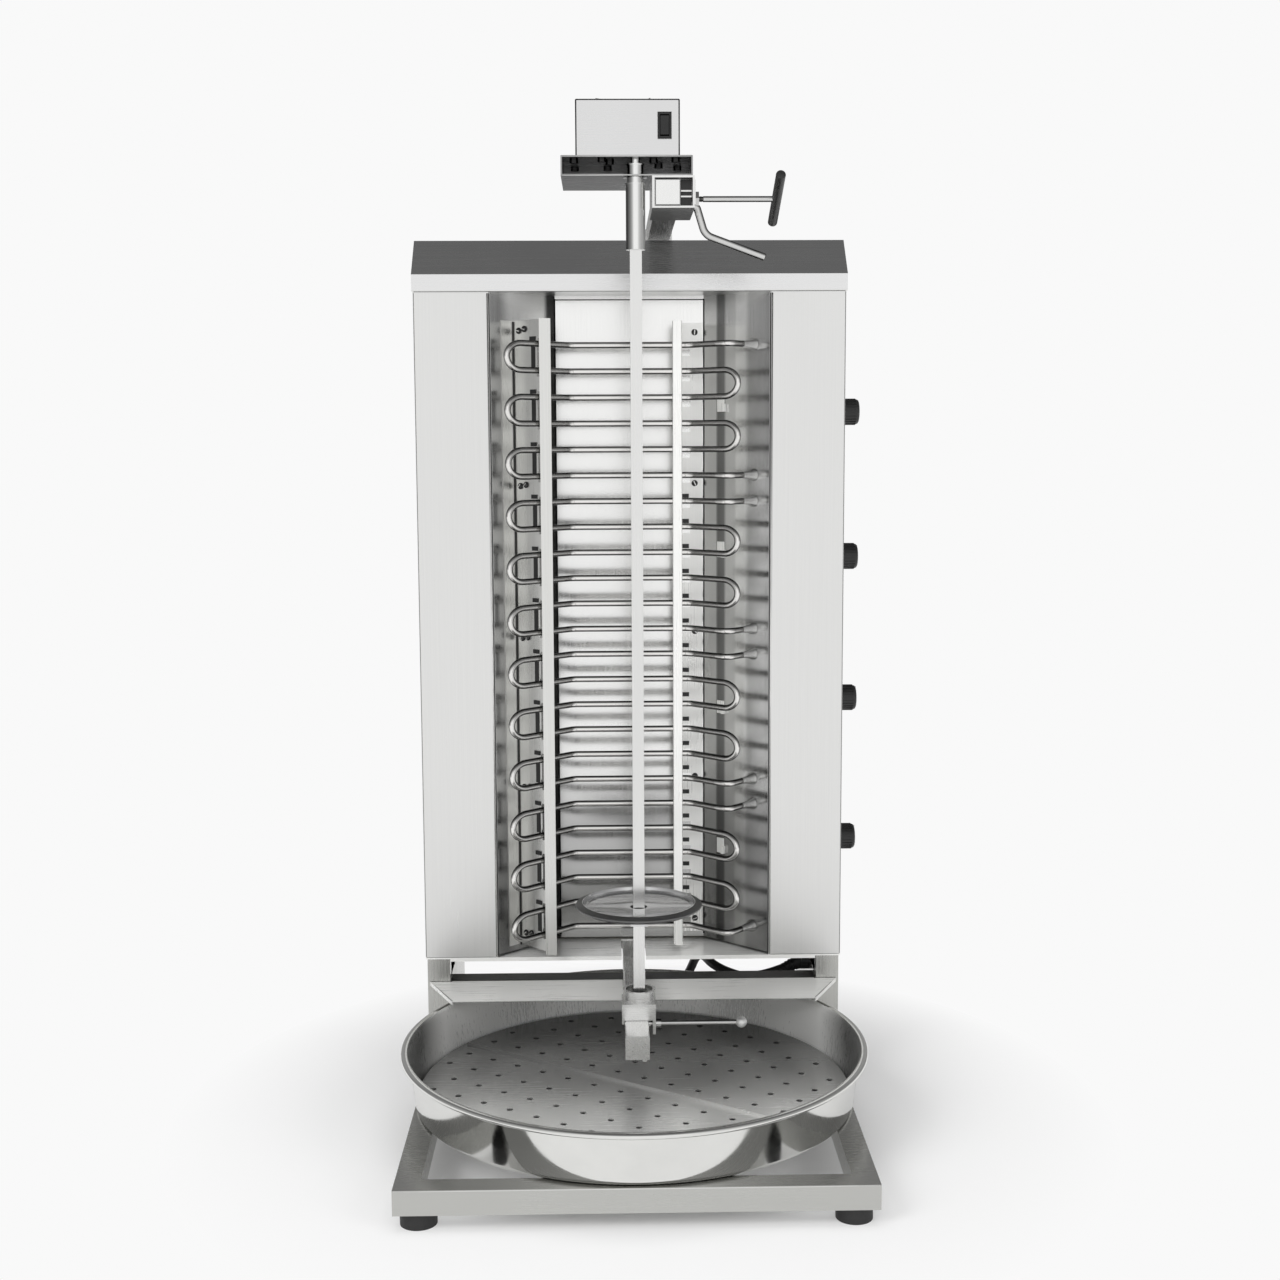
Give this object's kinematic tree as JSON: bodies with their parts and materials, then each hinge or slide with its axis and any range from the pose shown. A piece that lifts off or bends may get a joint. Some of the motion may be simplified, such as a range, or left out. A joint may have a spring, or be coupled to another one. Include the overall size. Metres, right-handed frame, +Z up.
{
  "type": "electric doner kebab grill",
  "caption": "Upright electric doner grill with a folded steel casing, serpentine heating elements, a motor-driven spit on a sliding carriage, knobs on the side and a round drip pan.",
  "frame": {"origin": "on the floor, under the middle of the grill's outline without its loose cord", "axes": "+Z up, -Y to the front where the spit stands, +X to the grill's right as seen from the front"},
  "size_m": [0.519, 0.6284, 1.0816],
  "materials": {
    "frame_steel": "satin, grain along the tubes",
    "body_steel": "satin, upright grain",
    "hood_steel": "satin",
    "rear_steel": "satin",
    "reflector_steel": "bright, upright grain",
    "apron_steel": "satin",
    "element_steel": "satin, slightly heat tinted",
    "bracket_steel": "satin",
    "spit_steel": "satin, grain along the rod",
    "pan_steel": "polished",
    "grid_steel": "satin",
    "plate_steel": "polished",
    "carriage_steel": "satin",
    "fastener_steel": "zinc plated",
    "ball_steel": "polished",
    "motor_alloy": "cast",
    "mineral_mat": "loose fibre",
    "foot_rubber": "matt",
    "knob_plastic": "fine texture",
    "grip_plastic": "smooth",
    "switch_plastic": "gloss",
    "regulator_plastic": "moulded",
    "terminal_ceramic": "glazed",
    "cord_rubber": "matt",
    "plug_plastic": "moulded",
    "pin_brass": "bright"
  },
  "bodies": {
    "stand": {"base_frame": "frame_steel", "rubber_feet": "foot_rubber", "leg_left": "frame_steel", "leg_right": "frame_steel", "apron": "apron_steel", "front_crossbar": "frame_steel", "rear_crossbar": "frame_steel", "lower_arm": "frame_steel", "casing_left": "body_steel", "casing_right": "body_steel", "rear_panel": "rear_steel", "floor_plate": "body_steel", "reflector": "reflector_steel", "roof_hood": "hood_steel", "ceiling_plate": "body_steel", "insulation": "mineral_mat", "bracket_left": "bracket_steel", "bracket_right": "bracket_steel", "heater_1": "element_steel", "heater_2": "element_steel", "heater_3": "element_steel", "heater_4": "element_steel", "bracket_screws": "fastener_steel", "regulators": "regulator_plastic", "terminal_block": "terminal_ceramic", "cable_gland": "grip_plastic", "cord_clip": "fastener_steel", "power_cord": "cord_rubber", "cord_coil": "cord_rubber", "plug_body": "plug_plastic", "plug_pins": "pin_brass", "upper_arm": "frame_steel", "arm_mount": "frame_steel"},
    "carriage": {"carriage_sleeve": "carriage_steel", "motor_tray": "carriage_steel", "motor_housing": "carriage_steel", "gear_motor": "motor_alloy", "switch_body": "switch_plastic", "housing_screws": "fastener_steel", "tray_bolts": "fastener_steel", "pull_handle": "fastener_steel", "clamp_nut": "fastener_steel"},
    "rocker": {"switch_rocker": "switch_plastic"},
    "pad": {"pressure_pad": "fastener_steel"},
    "clamp": {"clamp_screw": "fastener_steel", "clamp_grip": "grip_plastic"},
    "spit": {"drive_coupling": "spit_steel", "spit_rod": "spit_steel"},
    "plate": {"meat_plate": "plate_steel", "plate_collar": "plate_steel"},
    "seat": {"spit_seat": "carriage_steel"},
    "seat_clamp": {"seat_screw": "fastener_steel", "screw_ball": "ball_steel"},
    "pan": {"drip_pan": "pan_steel"},
    "plate_left": {"grid_left": "grid_steel"},
    "plate_right": {"grid_right": "grid_steel"},
    "knob_1_turning": {"knob_1": "knob_plastic"},
    "knob_2_turning": {"knob_2": "knob_plastic"},
    "knob_3_turning": {"knob_3": "knob_plastic"},
    "knob_4_turning": {"knob_4": "knob_plastic"}
  },
  "joints": [
    {"name": "carriage_slide", "type": "slide", "parent": "stand", "child": "carriage", "axis": [0, 1, 0], "range_m": [-0.03, 0.06]},
    {"name": "switch_tilt", "type": "hinge", "parent": "carriage", "child": "rocker", "pos_m": [0.02515, -0.09475, 1.0535], "axis": [1, 0, 0], "range_deg": [-12, 0]},
    {"name": "pad_travel", "type": "slide", "parent": "carriage", "child": "pad", "axis": [1, 0, 0], "range_m": [0, 0.00125]},
    {"name": "clamp_turn", "type": "hinge", "parent": "pad", "child": "clamp", "pos_m": [0.0925, -0.05375, 0.988], "axis": [1, 0, 0], "range_deg": [0, 360]},
    {"name": "spit_turn", "type": "hinge", "parent": "carriage", "child": "spit", "pos_m": [-0.004, -0.09075, 0.5], "axis": [0, 0, 1], "continuous": true},
    {"name": "plate_lift", "type": "slide", "parent": "spit", "child": "plate", "axis": [0, 0, 1], "range_m": [0, 0.3]},
    {"name": "seat_slide", "type": "slide", "parent": "stand", "child": "seat", "axis": [0, 1, 0], "range_m": [-0.03, 0.06]},
    {"name": "seat_clamp_turn", "type": "hinge", "parent": "seat", "child": "seat_clamp", "pos_m": [0.0525, -0.09075, 0.1282], "axis": [1, 0, 0], "range_deg": [0, 90]},
    {"name": "pan_slide", "type": "slide", "parent": "stand", "child": "pan", "axis": [0, -1, 0], "range_m": [0, 0.2]},
    {"name": "left_grid_lift", "type": "slide", "parent": "pan", "child": "plate_left", "axis": [0, 0, 1], "range_m": [0, 0.045]},
    {"name": "right_grid_lift", "type": "slide", "parent": "pan", "child": "plate_right", "axis": [0, 0, 1], "range_m": [0, 0.045]},
    {"name": "knob_1_turn", "type": "hinge", "parent": "stand", "child": "knob_1_turning", "pos_m": [0.2465, 0.15925, 0.7746], "axis": [1, 0, 0], "range_deg": [0, 270]},
    {"name": "knob_2_turn", "type": "hinge", "parent": "stand", "child": "knob_2_turning", "pos_m": [0.2465, 0.15925, 0.60627], "axis": [1, 0, 0], "range_deg": [0, 270]},
    {"name": "knob_3_turn", "type": "hinge", "parent": "stand", "child": "knob_3_turning", "pos_m": [0.2465, 0.15925, 0.43793], "axis": [1, 0, 0], "range_deg": [0, 270]},
    {"name": "knob_4_turn", "type": "hinge", "parent": "stand", "child": "knob_4_turning", "pos_m": [0.2465, 0.15925, 0.2696], "axis": [1, 0, 0], "range_deg": [0, 270]}
  ],
  "couplings": [
    {"joint": "pad_travel", "follows": "clamp_turn", "m_per_rad": 0.00019894},
    {"joint": "seat_slide", "follows": "carriage_slide", "ratio": 1}
  ]
}
